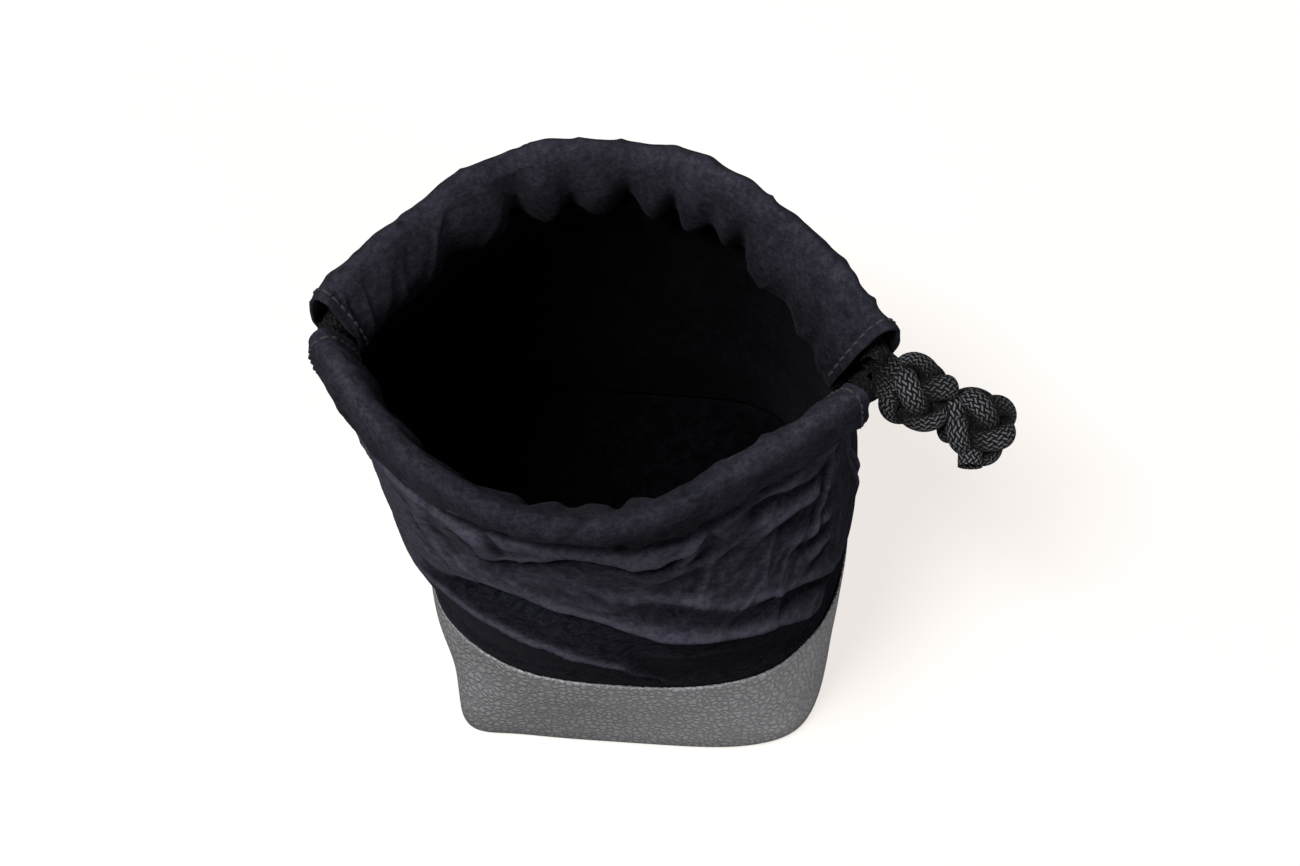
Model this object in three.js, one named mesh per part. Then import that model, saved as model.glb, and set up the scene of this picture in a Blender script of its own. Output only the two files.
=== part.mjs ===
// A drawstring pouch that stands on a padded leather base.
// Millimetres, Z up, origin on the floor under the middle of the base.
// The front is -Y, and the two tails of the drawstring leave the mouth at the right, +X.
import * as THREE from 'three';

// Driving sizes of the pouch
const overall_height = 112;
const base_width = 75;
const base_depth = 76;
const seam_width = 77.5;
const seam_depth = 73;
const mouth_width = 91;
const mouth_depth = 68;
const mouth_lean = -3;
const belly_depth = 2;
const leather_height = 37;
const leather_thickness = 1.6;
const base_edge_round = 2.4;
const cloth_thickness = 1.2;
const lining_thickness = 1.6;
const pad_thickness = 2.6;
const base_pad_thickness = 4;
const seam_allowance = 5;
const seam_turn_height = 2.5;
const layer_gap = 0.36;
const side_seam_gap = 0.4;

// Sagging folds of the cloth. A fold passes through places given in shares: across from the panel's
// middle to a side seam, up the cloth, and of the full depth.
const fold_depth = 3.8;
const fold_rise = 8;
const fold_fall = 5;
const front_fold_shares = [
  [[-0.1, 0.75, 0], [0.12, 0.77, 0.4], [0.28, 0.7, 0.6], [0.44, 0.61, 0.6], [0.6, 0.5, 0.4], [0.72, 0.4, 0]],
  [[-0.5, 0.82, 0], [-0.25, 0.76, 0.5], [-0.1, 0.72, 0.75], [0.06, 0.67, 1], [0.34, 0.56, 0.9], [0.62, 0.34, 0]],
  [[-0.7, 0.34, 0], [-0.45, 0.48, 0.5], [-0.3, 0.53, 0.7], [-0.15, 0.46, 0.7], [0, 0.37, 0.5], [0.1, 0.15, 0]],
];
const back_fold_shares = [
  [[-0.84, 0.48, 0], [-0.4, 0.6, 0.8], [-0.08, 0.5, 1], [0.22, 0.56, 0.95], [0.5, 0.67, 0.6], [0.84, 0.7, 0]],
  [[-0.56, 0.87, 0], [-0.16, 0.8, 0.7], [0.12, 0.84, 0.8], [0.45, 0.9, 0.5], [0.75, 0.88, 0]],
  [[-0.9, 0.14, 0], [-0.35, 0.28, 0.7], [0.04, 0.2, 0.8], [0.45, 0.27, 0.6], [0.88, 0.36, 0]],
];

// The front's cloth is drawn in where it rises to its hem, most a little left of its middle, and the
// hem's foot with it. The rise is given in shares of the cloth's height.
const hollow_depth = 4.4;
const hollow_place_share = -0.12;
const hollow_reach_share = 0.5;
const hollow_rise_shares = [0.28, 0.86];

// The front of the mouth waves out and in: places across it, each with its reach and its share
const wave_depth = 1.3;
const wave_rise = 34;
const wave_shares = [[-0.5, 0.45, 1], [0.38, 0.5, -1]];

// Casings, the two hems that the drawstring runs through
const casing_height = 17.5;
const casing_thickness = 6.4;
const casing_wall = 0.8;
const left_slit_half = 2.6;
const right_slit_half_front = 6.8;
const right_slit_half_back = 5;

// Drawstring, its tails and the two knots that they are tied into
const cord_diameter = 4;
const tail_yaw_degrees = -17;
const tail_pitch_degrees = -22;
const tail_exit_inset = 3.3;
const tail_exit_aside = 0.4;
const tail_exit_drop = 1.6;
const tail_reach = 1.4;
const knot_diameter = 13.2;
const knot_groove = 1.2;
const knot_pole_drop = 0.5;

// Outline powers, across and deep: 2 is round, more is squarer, less comes to a point
const base_powers = [4.4, 4.4];
const seam_powers = [2.8, 2.8];
const mouth_powers = [2, 1.2];
const casing_section_power = 4;

// Counts of steps
const ring_steps = 64;
const half_steps = 28;
const panel_steps = 36;
const casing_section_steps = 16;
const cord_sides = 8;
const cord_run_steps = 28;
const tail_steps = 5;
const panel_levels = 18;
const knot_columns = 32;
const knot_rows = 16;
const knot_bights = 4;

// Angles round the outline, from the right side seam over the back to the left one
const right_seam = 0;
const left_seam = Math.PI;
const full_turn = 2 * Math.PI;

// Heights and insets that follow from the sizes
const bottom_top = leather_thickness;
const wall_foot = bottom_top + layer_gap;
const pad_inset = leather_thickness + layer_gap;
const floor_inset = pad_inset + pad_thickness + layer_gap;
const base_pad_top = wall_foot + base_pad_thickness;
const floor_foot = base_pad_top + layer_gap;
const lining_foot = floor_foot + lining_thickness + layer_gap;
const allowance_foot = leather_height - seam_allowance;
const pad_top = allowance_foot - layer_gap;
const turn_top = leather_height + seam_turn_height;
const casing_foot = overall_height - casing_height;
const casing_middle = casing_foot + casing_height / 2;
const cloth_top = casing_foot - layer_gap;
const lining_inset_high = cloth_thickness + layer_gap;
const lining_inset_low = floor_inset;
const lining_inset_allowance = pad_inset + cloth_thickness + layer_gap;
const neck_foot = casing_foot - casing_thickness;
const neck_inset = casing_thickness / 2 - cloth_thickness - layer_gap / 2;

const leather = new THREE.MeshStandardMaterial({ color: '#605e61', roughness: 0.62, metalness: 0 });
const cloth = new THREE.MeshStandardMaterial({ color: '#14161c', roughness: 0.9, metalness: 0 });
const fleece = new THREE.MeshStandardMaterial({ color: '#0d0d0f', roughness: 1, metalness: 0 });
const foam = new THREE.MeshStandardMaterial({ color: '#6a6a68', roughness: 1, metalness: 0 });
const braid = new THREE.MeshStandardMaterial({ color: '#16171a', roughness: 0.85, metalness: 0 });

const pouch = new THREE.Group();

function addPiece(name, geometry, material) {
  const mesh = new THREE.Mesh(geometry, material);
  mesh.name = name;
  pouch.add(mesh);
  return mesh;
}

function mix(start, end, share) {
  return start + (end - start) * share;
}

function mixBoth(starts, ends, share) {
  return starts.map((start, index) => mix(start, ends[index], share));
}

// Half width, half depth, powers and sideways lean of the pouch's outside at a height
function outlineAt(height) {
  if (height <= leather_height) {
    const share = height / leather_height;
    return {
      halfWidth: mix(base_width, seam_width, share) / 2,
      halfDepth: mix(base_depth, seam_depth, share) / 2,
      powers: mixBoth(base_powers, seam_powers, share),
      lean: 0,
    };
  }
  const share = Math.min((height - leather_height) / (casing_foot - leather_height), 1);
  const flare = share * share;
  const belly = belly_depth * Math.sin(Math.PI * share);
  return {
    halfWidth: mix(seam_width, mouth_width, flare) / 2,
    halfDepth: mix(seam_depth, mouth_depth, share) / 2 + belly,
    powers: mixBoth(seam_powers, mouth_powers, share),
    lean: mouth_lean * flare,
  };
}

function signedPower(value, power) {
  return Math.sign(value) * Math.abs(value) ** power;
}

// A point on the outside, or inside it by the inset, at an angle round the pouch
function outlinePoint(height, angle, inset) {
  const outline = outlineAt(height);
  const [powerAcross, powerDeep] = outline.powers;
  const x = (outline.halfWidth - inset) * signedPower(Math.cos(angle), 2 / powerAcross);
  const y = (outline.halfDepth - inset) * signedPower(Math.sin(angle), 2 / powerDeep);
  return new THREE.Vector3(outline.lean + x, y, height);
}

// A closed body between two skins of points, each skin a list of columns of points.
// A skin that wraps joins its last column, or the last point of each column, to the first.
function bodyBetweenSkins(outer, inner, wrapColumns, wrapPoints) {
  const columns = outer.length;
  const points = outer[0].length;
  const positions = [];
  const indices = [];
  for (const skin of [outer, inner]) {
    for (const column of skin) {
      for (const point of column) positions.push(point.x, point.y, point.z);
    }
  }
  const at = (skin, column, point) =>
    (skin * columns + (column % columns)) * points + (point % points);
  const quad = (a, b, c, d) => indices.push(a, b, c, a, c, d);
  const lastColumn = wrapColumns ? columns : columns - 1;
  const lastPoint = wrapPoints ? points : points - 1;
  for (let column = 0; column < lastColumn; column += 1) {
    for (let point = 0; point < lastPoint; point += 1) {
      const next = column + 1;
      const above = point + 1;
      quad(at(0, column, point), at(0, next, point), at(0, next, above), at(0, column, above));
      quad(at(1, column, point), at(1, column, above), at(1, next, above), at(1, next, point));
    }
    if (!wrapPoints) {
      const next = column + 1;
      quad(at(0, column, 0), at(1, column, 0), at(1, next, 0), at(0, next, 0));
      quad(at(0, next, lastPoint), at(1, next, lastPoint), at(1, column, lastPoint), at(0, column, lastPoint));
    }
  }
  if (!wrapColumns) {
    for (let point = 0; point < lastPoint; point += 1) {
      const above = point + 1;
      quad(at(0, 0, point), at(0, 0, above), at(1, 0, above), at(1, 0, point));
      quad(at(1, lastColumn, point), at(1, lastColumn, above), at(0, lastColumn, above),
        at(0, lastColumn, point));
    }
  }
  const geometry = new THREE.BufferGeometry();
  geometry.setAttribute('position', new THREE.Float32BufferAttribute(positions, 3));
  geometry.setIndex(indices);
  geometry.computeVertexNormals();
  return geometry;
}

// A smooth hill, 1 at its middle and 0 from its reach on
function hill(distance, reach) {
  return (1 + Math.cos(Math.PI * Math.min(Math.abs(distance) / reach, 1))) / 2;
}

// Where a fold passes a place across its panel: the places' shares, or none beyond its ends
function foldAt(fold, across) {
  const after = fold.findIndex(([place]) => place > across);
  if (after < 1) return null;
  const [start, end] = [fold[after - 1], fold[after]];
  return mixBoth(start, end, (across - start[0]) / (end[0] - start[0]));
}

// How far the folds push the cloth out at a place
function foldRelief(folds, across, height) {
  const reliefs = folds.map((fold) => {
    const found = foldAt(fold, across);
    if (!found) return 0;
    const [, up, depth] = found;
    const above = height - mix(leather_height, casing_foot, up);
    return fold_depth * depth * hill(above, above > 0 ? fold_rise : fold_fall);
  });
  return Math.max(0, ...reliefs);
}

// A smooth rise, 0 at its foot and 1 from its top on
function rise(height, foot, top) {
  return hill(Math.max(top - height, 0), top - foot);
}

// How deep the front is drawn in at a place across it
function hollowAt(across) {
  return hollow_depth * hill(across - hollow_place_share, hollow_reach_share);
}

// How much of that hollow there is at a height: it rises to the hem's foot, and the hem leans out of it
function hollowShare(height) {
  if (height > casing_foot) return (overall_height - height) / casing_height;
  const [foot, top] = hollow_rise_shares.map((share) => mix(leather_height, casing_foot, share));
  return rise(height, foot, top);
}

// How far the front's cloth, lining and hem stand out of the plain outline at a place
function frontShift(across, height) {
  const waves = wave_shares.map(([place, reach, share]) => share * hill(across - place, reach));
  const wave = waves.reduce((sum, share) => sum + share, 0);
  const grown = rise(height, casing_foot - wave_rise, casing_foot);
  return wave_depth * wave * grown - hollowAt(across) * hollowShare(height);
}

const flat = () => 0;
const frontRelief = (across, height) =>
  foldRelief(front_fold_shares, across, height) + frontShift(across, height);
const backRelief = (across, height) => foldRelief(back_fold_shares, across, height);

// One wall of the pouch: levels are { height, outer, inner }, the insets of its two faces, and
// relief tells how far a place stands out
function wallBody(levels, from, to, steps, relief) {
  const whole = Math.abs(to - from) >= full_turn;
  const front = (from + to) / 2 > Math.PI;
  const columnCount = whole ? steps : steps + 1;
  const skin = (side) => Array.from({ length: columnCount }, (_, column) => {
    const share = column / steps;
    const angle = mix(from, to, share);
    return levels.map((level) => {
      const out = relief(2 * share - 1, level.height);
      const point = outlinePoint(level.height, angle, level[side] - out);
      const reach = Math.max(Math.abs(point.y), side_seam_gap / 2);
      if (!whole) point.y = front ? -reach : reach;
      return point;
    });
  });
  return bodyBetweenSkins(skin('outer'), skin('inner'), whole, false);
}

// Each wall's levels from bottom to top, with its thickness
function levelsOf(places, thickness) {
  return places.map(([height, inset]) => ({ height, outer: inset, inner: inset + thickness }));
}

// A wall all the way round, without folds
function ringWall(places, thickness) {
  return wallBody(levelsOf(places, thickness), 0, full_turn, ring_steps, flat);
}

function spread(start, end, count) {
  return Array.from({ length: count }, (_, index) => mix(start, end, index / (count - 1)));
}

// Heights at which the cloth and its lining are free to fold
const free_heights = spread(turn_top, neck_foot, panel_levels);

// A flat slab inside the outline, as thick as given, lying from its foot up
function slabGeometry(foot, thickness, inset) {
  const points = Array.from({ length: ring_steps }, (_, index) => {
    const point = outlinePoint(foot, (full_turn * index) / ring_steps, inset);
    return new THREE.Vector2(point.x, point.y);
  });
  const slab = new THREE.ExtrudeGeometry(new THREE.Shape(points), {
    depth: thickness,
    bevelEnabled: false,
  });
  return slab.translate(0, 0, foot);
}

// Leather bottom and side wall of the base
function addLeather() {
  addPiece('leather_bottom', slabGeometry(0, leather_thickness, base_edge_round), leather);
  const places = [
    [wall_foot, base_edge_round / 2],
    [wall_foot + base_edge_round, 0],
    [leather_height / 2, 0],
    [leather_height, 0],
  ];
  addPiece('leather_wall', ringWall(places, leather_thickness), leather);
}

// Foam that keeps the base upright and pads its floor
function addPads() {
  const places = [[wall_foot + base_edge_round, pad_inset], [pad_top, pad_inset]];
  addPiece('wall_pad', ringWall(places, pad_thickness), foam);
  addPiece('base_pad', slabGeometry(wall_foot, base_pad_thickness, floor_inset), foam);
}

// Fleece lining: a floor, and a front and a back that reach up to the casings
function addLining() {
  addPiece('lining_floor', slabGeometry(floor_foot, lining_thickness, floor_inset), fleece);
  const places = [
    [lining_foot, lining_inset_low],
    [pad_top, lining_inset_low],
    [leather_height, lining_inset_allowance],
    ...free_heights.slice(1).map((height) => [height, lining_inset_high]),
    [cloth_top, neck_inset + lining_inset_high],
  ];
  const levels = levelsOf(places, lining_thickness);
  addPiece('lining_back', wallBody(levels, right_seam, left_seam, panel_steps, flat), fleece);
  addPiece('lining_front', wallBody(levels, left_seam, full_turn, panel_steps, frontShift), fleece);
}

// Cloth panels: their lower hem is sewn behind the leather's top edge
function addPanels() {
  const places = [
    [allowance_foot, pad_inset],
    [leather_height + layer_gap, pad_inset],
    ...free_heights.map((height) => [height, 0]),
    [cloth_top, neck_inset],
  ];
  const levels = levelsOf(places, cloth_thickness);
  addPiece('back_panel', wallBody(levels, right_seam, left_seam, panel_steps, backRelief), cloth);
  addPiece('front_panel', wallBody(levels, left_seam, full_turn, panel_steps, frontRelief), cloth);
}

// Where a casing's middle line comes as near to the side seams as the slit half leaves it
function slitAngle(slitHalf) {
  const outline = outlineAt(casing_middle);
  const halfDepth = outline.halfDepth - casing_thickness / 2;
  const [, powerDeep] = outline.powers;
  return Math.asin((slitHalf / halfDepth) ** (powerDeep / 2));
}

// The place across the front at an angle: -1 at the left side seam, 1 at the right one
function acrossFront(angle) {
  return (2 * (angle - left_seam)) / (full_turn - left_seam) - 1;
}

function casingPoint(angle) {
  const shift = angle > left_seam ? frontShift(acrossFront(angle), casing_middle) : 0;
  return outlinePoint(casing_middle, angle, casing_thickness / 2 - shift);
}

// The middle line of a casing from one angle to another
function casingLine(from, to, steps) {
  return Array.from({ length: steps + 1 }, (_, index) => casingPoint(mix(from, to, index / steps)));
}

// A flat oval round a point of the line, in the plane square to the line, its top leaning outwards
function casingSection(point, along, lean, halfThickness, halfHeight) {
  const across = new THREE.Vector3(along.y, -along.x, 0).normalize();
  return Array.from({ length: casing_section_steps }, (_, index) => {
    const angle = (full_turn * index) / casing_section_steps;
    const upwards = halfHeight * signedPower(Math.sin(angle), 2 / casing_section_power);
    const oval = halfThickness * signedPower(Math.cos(angle), 2 / casing_section_power);
    const sideways = oval + (lean * upwards) / casing_height;
    return point.clone().addScaledVector(across, sideways).add(new THREE.Vector3(0, 0, upwards));
  });
}

// A casing: a flat open tube of cloth that follows half of the mouth
function casingBody(from, to) {
  const line = casingLine(from, to, half_steps);
  const skin = (shrink) => line.map((point, index) => {
    const before = line[Math.max(index - 1, 0)];
    const after = line[Math.min(index + 1, half_steps)];
    const along = after.clone().sub(before);
    const angle = mix(from, to, index / half_steps);
    const lean = angle > left_seam ? hollowAt(acrossFront(angle)) : 0;
    const [halfThickness, halfHeight] = [casing_thickness, casing_height].map((size) => size / 2 - shrink);
    return casingSection(point, along, lean, halfThickness, halfHeight);
  });
  return bodyBetweenSkins(skin(0), skin(casing_wall), false, true);
}

// A round cord along points, cut square at both ends
function cordBody(points, steps) {
  const section = Array.from({ length: cord_sides }, (_, index) => {
    const angle = (full_turn * (index + 1 / 2)) / cord_sides;
    return new THREE.Vector2(Math.cos(angle), Math.sin(angle)).multiplyScalar(cord_diameter / 2);
  });
  return new THREE.ExtrudeGeometry(new THREE.Shape(section), {
    steps,
    extrudePath: new THREE.CatmullRomCurve3(points),
    bevelEnabled: false,
  });
}

// Casings with the stretch of drawstring inside each, and the drawstring across the left slit
function addCasings() {
  const left = slitAngle(left_slit_half);
  const ends = {
    back: [right_seam + slitAngle(right_slit_half_back), left_seam - left],
    front: [left_seam + left, full_turn - slitAngle(right_slit_half_front)],
  };
  const lines = {};
  for (const side of ['back', 'front']) {
    const [from, to] = ends[side];
    addPiece(`${side}_casing`, casingBody(from, to), cloth);
    lines[side] = casingLine(from, to, half_steps);
    addPiece(`drawstring_${side}_run`, cordBody(lines[side], cord_run_steps), braid);
  }
  return lines;
}

// A point that lies a length beyond the end of a line, in the line's own direction
function beyond(end, before, length) {
  const along = end.clone().sub(before).normalize();
  return end.clone().addScaledVector(along, length);
}

// The drawstring's turn round the left side seam, from one casing into the other
function addBridge(lines) {
  const back = lines.back;
  const front = lines.front;
  const backEnd = beyond(back.at(-1), back.at(-2), layer_gap);
  const frontEnd = beyond(front[0], front[1], layer_gap);
  const bulge = backEnd.clone().add(frontEnd).multiplyScalar(1 / 2);
  bulge.x -= cord_diameter / 4;
  addPiece('drawstring_bridge', cordBody([backEnd, bulge, frontEnd], tail_steps), braid);
}

// The way out of the mouth that the tails and knots follow
const tail_yaw = THREE.MathUtils.degToRad(tail_yaw_degrees);
const tail_pitch = THREE.MathUtils.degToRad(tail_pitch_degrees);
const tail_way = new THREE.Vector3(
  Math.cos(tail_pitch) * Math.cos(tail_yaw),
  Math.cos(tail_pitch) * Math.sin(tail_yaw),
  Math.sin(tail_pitch),
);
const tail_across = new THREE.Vector3(-Math.sin(tail_yaw), Math.cos(tail_yaw), 0);

// Radius of a knot in a direction: diagonal strands of cord cross round a ball
function knotRadius(longitude, latitude) {
  const rising = Math.cos((knot_bights * (longitude + latitude)) / 2) ** 2;
  const falling = Math.cos((knot_bights * (longitude - latitude)) / 2) ** 2;
  const waist = Math.cos(latitude) ** 2;
  const groove = knot_groove * (1 - Math.max(rising, falling)) * waist;
  return knot_diameter / 2 - groove - knot_pole_drop * (1 - waist);
}

// A knot as a ball of crossing strands, its poles on the cord's way
function knotBody() {
  const ball = new THREE.SphereGeometry(1, knot_columns, knot_rows);
  const place = ball.getAttribute('position');
  const point = new THREE.Vector3();
  for (let index = 0; index < place.count; index += 1) {
    point.fromBufferAttribute(place, index);
    const longitude = Math.atan2(point.z, point.x);
    const latitude = Math.asin(THREE.MathUtils.clamp(point.y, -1, 1));
    point.multiplyScalar(knotRadius(longitude, latitude));
    place.setXYZ(index, point.x, point.y, point.z);
  }
  return ball;
}

// Two tails side by side out of the casings, and the two knots that hold them together
function addTails(lines) {
  const mouthEdge = mouth_lean + mouth_width / 2;
  const exitHeight = casing_middle - tail_exit_drop;
  const exit = new THREE.Vector3(mouthEdge - tail_exit_inset, tail_exit_aside, exitHeight);
  const knotPole = knot_diameter / 2 - knot_pole_drop;
  const nearCentre = exit.clone().addScaledVector(tail_way, tail_reach + knotPole + layer_gap);
  const starts = {
    front: [lines.front.at(-1), lines.front.at(-2)],
    back: [lines.back[0], lines.back[1]],
  };
  const sides = { front: -1, back: 1 };
  for (const side of ['front', 'back']) {
    const aside = sides[side] * (cord_diameter + layer_gap) / 2;
    const out = exit.clone().addScaledVector(tail_across, aside);
    const start = beyond(...starts[side], layer_gap);
    const bend = beyond(...starts[side], cord_diameter / 4);
    const end = out.clone().addScaledVector(tail_way, tail_reach);
    addPiece(`tail_${side}`, cordBody([start, bend, out, end], tail_steps), braid);
  }
  for (const [index, name] of ['knot_near', 'knot_far'].entries()) {
    const knot = addPiece(name, knotBody(), braid);
    knot.position.copy(nearCentre).addScaledVector(tail_way, index * (2 * knotPole + layer_gap));
    knot.quaternion.setFromUnitVectors(new THREE.Vector3(0, 1, 0), tail_way);
  }
}

addLeather();
addPads();
addLining();
addPanels();
const casingLines = addCasings();
addBridge(casingLines);
addTails(casingLines);

export default pouch;
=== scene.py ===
import math

import bpy
import numpy as np
from mathutils import Matrix, Vector


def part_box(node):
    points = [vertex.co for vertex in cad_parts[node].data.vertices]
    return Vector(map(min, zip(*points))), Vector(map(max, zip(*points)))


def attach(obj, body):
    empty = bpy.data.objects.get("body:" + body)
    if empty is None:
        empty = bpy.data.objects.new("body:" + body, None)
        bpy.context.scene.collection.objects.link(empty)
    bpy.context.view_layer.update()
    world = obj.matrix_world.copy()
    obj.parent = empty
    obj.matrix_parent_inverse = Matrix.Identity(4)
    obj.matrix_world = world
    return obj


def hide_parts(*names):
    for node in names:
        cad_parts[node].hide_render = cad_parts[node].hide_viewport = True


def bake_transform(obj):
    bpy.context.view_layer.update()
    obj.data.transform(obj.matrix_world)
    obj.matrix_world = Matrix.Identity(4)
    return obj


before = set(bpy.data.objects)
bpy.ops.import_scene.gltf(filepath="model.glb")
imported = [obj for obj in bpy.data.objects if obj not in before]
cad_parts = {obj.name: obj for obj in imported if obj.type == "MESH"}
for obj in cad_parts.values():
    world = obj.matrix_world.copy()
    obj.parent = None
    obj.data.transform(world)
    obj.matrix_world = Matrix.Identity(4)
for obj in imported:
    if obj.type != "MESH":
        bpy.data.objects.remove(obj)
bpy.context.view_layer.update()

# Lengths below are in millimetres unless they say otherwise, and meshes are made in metres
MM = 0.001


def box_mm(node):
    low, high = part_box(node)
    return low / MM, high / MM


# Sizes that follow from the frame
HEM_LOW, HEM_HIGH = box_mm("front_casing")
SEAM_Z = box_mm("leather_wall")[1].z
FOOT_Z = HEM_LOW.z
TOP_Z = HEM_HIGH.z
HEM_HEIGHT = TOP_Z - FOOT_Z
CLOTH_HEIGHT = FOOT_Z - SEAM_Z
CLOTH_MIDDLE_Z = SEAM_Z + CLOTH_HEIGHT * 0.6
PAD_HIGH = box_mm("wall_pad")[1].z
FLOOR_LOW, FLOOR_HIGH = [corner.z for corner in box_mm("lining_floor")]

# The outside of the pouch at the floor, at the leather's top and at the mouth
BASE_WIDTH, BASE_DEPTH = 75.0, 76.0
SEAM_WIDTH, SEAM_DEPTH = 77.5, 73.0
MOUTH_WIDTH, MOUTH_DEPTH, MOUTH_LEAN = 91.0, 68.0, -3.0
BELLY_DEPTH = 2.0
BASE_POWERS = (4.4, 4.4)
SEAM_POWERS = (2.8, 2.8)
MOUTH_POWERS = (2.0, 1.2)

# Thicknesses
LEATHER_THICKNESS = 1.6
CLOTH_THICKNESS = 0.7
LINING_THICKNESS = 1.3
HEM_THICKNESS = 6.4
CORD_DIAMETER = 4.0

# How far inside the cloth the lining leans in when the mouth is drawn up
LINING_AHEAD = 5.5

# The photograph's frame and view
PHOTO_WIDTH, PHOTO_HEIGHT = 1300, 866
FOCAL_PX = 2480.0
VIEW_DOWN_DEGREES = 69.0
VIEW_YAW_DEGREES = 7.0
VIEW_ROLL_DEGREES = -3.0
AIM_POINT = (-6.0, 0.0, 85.0)
AIM_PX = (595.4, 395.5)
AIM_PX_PER_MM = 6.04


# Numbers

def mix(start, end, share):
    return start + (end - start) * share


def smoothstep(low, high, value):
    share = np.clip((value - low) / (high - low), 0, 1)
    return share * share * (3 - 2 * share)


def bell(value):
    return np.exp(-value * value)


def noise(x, y, seed):
    """Smooth value noise of two arrays, about -1 to 1."""
    size = 64
    table = np.random.default_rng(seed).uniform(-1, 1, (size, size))
    x, y = np.broadcast_arrays(x, y)
    column, row = np.floor(x).astype(int), np.floor(y).astype(int)
    fx, fy = x - column, y - row
    fx, fy = fx * fx * (3 - 2 * fx), fy * fy * (3 - 2 * fy)
    at = lambda i, j: table[(column + i) % size, (row + j) % size]
    return mix(mix(at(0, 0), at(1, 0), fx), mix(at(0, 1), at(1, 1), fx), fy)


def ridged(x, y, seed):
    """Noise with sharp crests, as creases have, from 0 to 1."""
    return 1 - np.abs(noise(x, y, seed))


def fading(low, high, value):
    """1 below low and 0 above high."""
    return 1 - smoothstep(low, high, value)


def run_along(points):
    """The way from the first point to each of them."""
    return np.concatenate([[0], np.cumsum(np.linalg.norm(np.diff(points, axis=0), axis=1))])


def at_run(at, run, points):
    """The points at some ways along a line of points."""
    return np.stack([np.interp(at, run, column) for column in points.T], axis=-1)


def unit(vectors):
    return vectors / np.linalg.norm(vectors, axis=-1, keepdims=True)


def metres(point):
    return (np.asarray(point) * MM).tolist()


def half_turn(front):
    """The angles at which the front or the back begins and ends."""
    return (np.pi, 2 * np.pi) if front else (0.0, np.pi)


def full_turn(columns):
    return np.linspace(0, 2 * np.pi, columns, endpoint=False)


# The outside of the pouch

def outline(z):
    """Half width, half depth, the two powers and the lean at heights z, all arrays."""
    low = np.clip(z / SEAM_Z, 0, 1)
    high = np.clip((z - SEAM_Z) / CLOTH_HEIGHT, 0, 1)
    flare = high * high
    width = np.where(z < SEAM_Z, mix(BASE_WIDTH, SEAM_WIDTH, low), mix(SEAM_WIDTH, MOUTH_WIDTH, flare))
    depth = np.where(z < SEAM_Z, mix(BASE_DEPTH, SEAM_DEPTH, low), mix(SEAM_DEPTH, MOUTH_DEPTH, high))
    belly = BELLY_DEPTH * np.sin(np.pi * high)
    powers = []
    for axis in (0, 1):
        below = mix(BASE_POWERS[axis], SEAM_POWERS[axis], low)
        above = mix(SEAM_POWERS[axis], MOUTH_POWERS[axis], high)
        powers.append(np.where(z < SEAM_Z, below, above))
    return width / 2, depth / 2 + belly, powers[0], powers[1], MOUTH_LEAN * flare


def signed_power(value, power):
    return np.sign(value) * np.abs(value) ** power


def outline_xy(z, angle, inset=0.0):
    half_width, half_depth, power_x, power_y, lean = outline(z)
    x = lean + (half_width - inset) * signed_power(np.cos(angle), 2 / power_x)
    y = (half_depth - inset) * signed_power(np.sin(angle), 2 / power_y)
    return x, y


def even_angles(count, z, start, end):
    """Angles round the outline that are evenly spaced along it at height z."""
    fine = np.linspace(start, end, 4000)
    x, y = outline_xy(np.full_like(fine, z), fine)
    run = run_along(np.stack([x, y], axis=-1))
    return np.interp(np.linspace(0, run[-1], count), run, fine)


def side_grid(front, columns, heights):
    """Angles, shares from the middle to the side seams, heights and shares up the cloth, of a grid."""
    angles = even_angles(columns, CLOTH_MIDDLE_Z, *half_turn(front))[:, None]
    along = np.linspace(-1, 1, columns)[:, None]
    angles, along, z = np.broadcast_arrays(angles, along, heights)
    return angles, along, z, (z - SEAM_Z) / CLOTH_HEIGHT


def outward(x, y):
    """Horizontal outward normals of a grid of points, columns along the outline."""
    dx, dy = np.gradient(x, axis=0), np.gradient(y, axis=0)
    length = np.hypot(dx, dy) + 1e-9
    return dy / length, -dx / length


# The photograph's view

def view_axes():
    """The camera's place in millimetres and its right, up and backward directions."""
    down, yaw, roll = [math.radians(a) for a in (VIEW_DOWN_DEGREES, VIEW_YAW_DEGREES, VIEW_ROLL_DEGREES)]
    towards = Vector((math.sin(yaw) * math.cos(down), -math.cos(yaw) * math.cos(down), math.sin(down)))
    level = (-towards).cross(Vector((0, 0, 1))).normalized()
    upright = level.cross(-towards)
    right = math.cos(roll) * level + math.sin(roll) * upright
    up = -math.sin(roll) * level + math.cos(roll) * upright
    across = (AIM_PX[0] - PHOTO_WIDTH / 2) / FOCAL_PX
    above = -(AIM_PX[1] - PHOTO_HEIGHT / 2) / FOCAL_PX
    distance = FOCAL_PX / AIM_PX_PER_MM
    place = Vector(AIM_POINT) - distance * (-towards + across * right + above * up)
    return place, right, up, towards


def photo_px(points):
    """Where points in millimetres fall in the photograph's frame."""
    place, right, up, towards = [np.array(v) for v in view_axes()]
    offset = points - place
    depth = -(offset @ towards)
    x = PHOTO_WIDTH / 2 + FOCAL_PX * (offset @ right) / depth
    y = PHOTO_HEIGHT / 2 - FOCAL_PX * (offset @ up) / depth
    return x, y


# Meshes

def add_to_scene(name, data):
    obj = bpy.data.objects.new(name, data)
    bpy.context.scene.collection.objects.link(obj)
    return obj


def new_object(name, points, faces, material, smooth=True):
    mesh = bpy.data.meshes.new(name)
    mesh.from_pydata(metres(points.reshape(-1, 3)), [], faces)
    mesh.validate()
    mesh.polygons.foreach_set("use_smooth", [smooth] * len(mesh.polygons))
    mesh.materials.append(material)
    return add_to_scene(name, mesh)


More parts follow.
